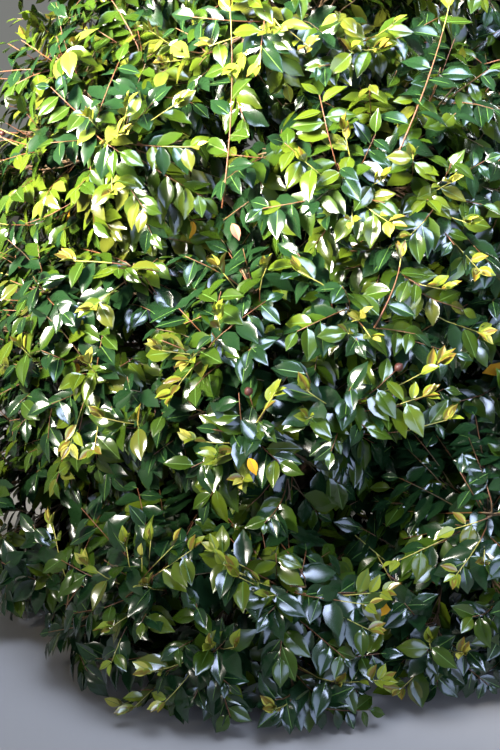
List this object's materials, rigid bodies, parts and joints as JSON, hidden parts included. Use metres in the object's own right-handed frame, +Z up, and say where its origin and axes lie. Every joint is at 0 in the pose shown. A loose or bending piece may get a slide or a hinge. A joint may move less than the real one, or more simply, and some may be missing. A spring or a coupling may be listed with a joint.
{
  "type": "camellia shrub",
  "caption": "Full evergreen camellia shrub rooted in the ground: a tapering trunk, ascending boughs, and rings of dense glossy foliage from the ground to a rounded top.",
  "frame": {"origin": "middle of the flat cut under the trunk, at ground level", "axes": "+Z up; -Y towards the side seen first, where the trunk shows through an open place low down; +X to the right from there"},
  "size_m": [2.6016, 2.6554, 2.8869],
  "materials": {
    "bark": "matt grey-brown bark, finely ridged",
    "bough_bark": "matt brown bark, smoother than the trunk's",
    "foliage_skirt": "glossy leathery evergreen leaves, paler and matt beneath",
    "foliage_waist": "glossy leathery evergreen leaves, paler and matt beneath",
    "foliage_shoulder": "glossy leathery evergreen leaves, paler and matt beneath",
    "foliage_upper": "glossy leathery evergreen leaves, paler and matt beneath",
    "foliage_top": "glossy leathery evergreen leaves, paler and matt beneath"
  },
  "bodies": {
    "root": {"trunk": "bark", "bough_skirt_1": "bough_bark", "bough_skirt_2": "bough_bark", "bough_skirt_3": "bough_bark", "bough_skirt_4": "bough_bark", "bough_skirt_5": "bough_bark", "bough_skirt_6": "bough_bark", "bough_skirt_7": "bough_bark", "bough_waist_1": "bough_bark", "bough_waist_2": "bough_bark", "bough_waist_3": "bough_bark", "bough_waist_4": "bough_bark", "bough_waist_5": "bough_bark", "bough_waist_6": "bough_bark", "bough_waist_7": "bough_bark", "bough_shoulder_1": "bough_bark", "bough_shoulder_2": "bough_bark", "bough_shoulder_3": "bough_bark", "bough_shoulder_4": "bough_bark", "bough_shoulder_5": "bough_bark", "bough_shoulder_6": "bough_bark", "bough_upper_1": "bough_bark", "bough_upper_2": "bough_bark", "bough_upper_3": "bough_bark", "bough_upper_4": "bough_bark", "bough_upper_5": "bough_bark", "foliage_skirt_1": "foliage_skirt", "foliage_skirt_2": "foliage_skirt", "foliage_skirt_3": "foliage_skirt", "foliage_skirt_4": "foliage_skirt", "foliage_skirt_5": "foliage_skirt", "foliage_skirt_6": "foliage_skirt", "foliage_skirt_7": "foliage_skirt", "foliage_waist_1": "foliage_waist", "foliage_waist_2": "foliage_waist", "foliage_waist_3": "foliage_waist", "foliage_waist_4": "foliage_waist", "foliage_waist_5": "foliage_waist", "foliage_waist_6": "foliage_waist", "foliage_waist_7": "foliage_waist", "foliage_shoulder_1": "foliage_shoulder", "foliage_shoulder_2": "foliage_shoulder", "foliage_shoulder_3": "foliage_shoulder", "foliage_shoulder_4": "foliage_shoulder", "foliage_shoulder_5": "foliage_shoulder", "foliage_shoulder_6": "foliage_shoulder", "foliage_upper_1": "foliage_upper", "foliage_upper_2": "foliage_upper", "foliage_upper_3": "foliage_upper", "foliage_upper_4": "foliage_upper", "foliage_upper_5": "foliage_upper", "foliage_top": "foliage_top"}
  },
  "joints": []
}
